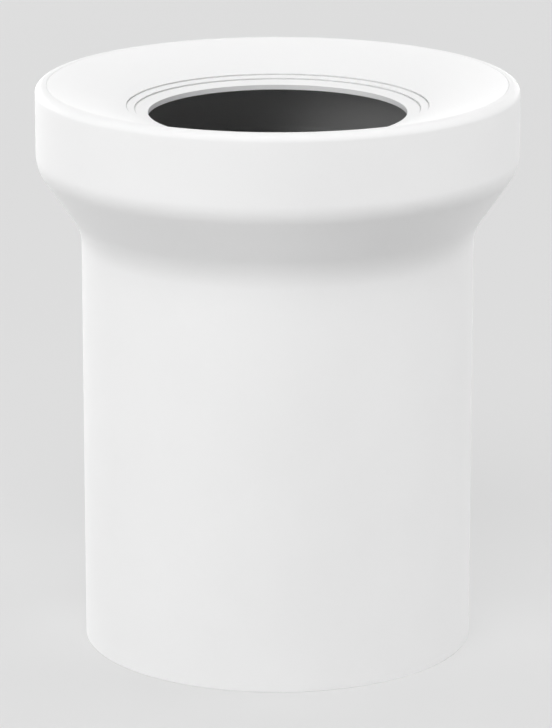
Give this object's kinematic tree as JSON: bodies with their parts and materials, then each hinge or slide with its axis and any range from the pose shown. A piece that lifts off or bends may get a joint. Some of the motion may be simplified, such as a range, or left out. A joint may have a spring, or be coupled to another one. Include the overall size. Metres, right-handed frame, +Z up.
{
  "type": "toilet pan connector",
  "caption": "Straight toilet pan connector: a plain pipe spigot that flares into a collar holding a soft, dished lip seal, which joins a pan outlet to a soil pipe.",
  "frame": {"origin": "centre of the pipe end, on the surface that it stands on", "axes": "+Z up along the pipe, from the pipe end to the seal"},
  "size_m": [0.135, 0.135, 0.16],
  "materials": {
    "moulded_polypropylene": "smooth satin moulding, white",
    "soft_elastomer": "fine matt moulding, white"
  },
  "bodies": {
    "root": {"spigot_body": "moulded_polypropylene", "lip_seal": "soft_elastomer"}
  },
  "joints": []
}
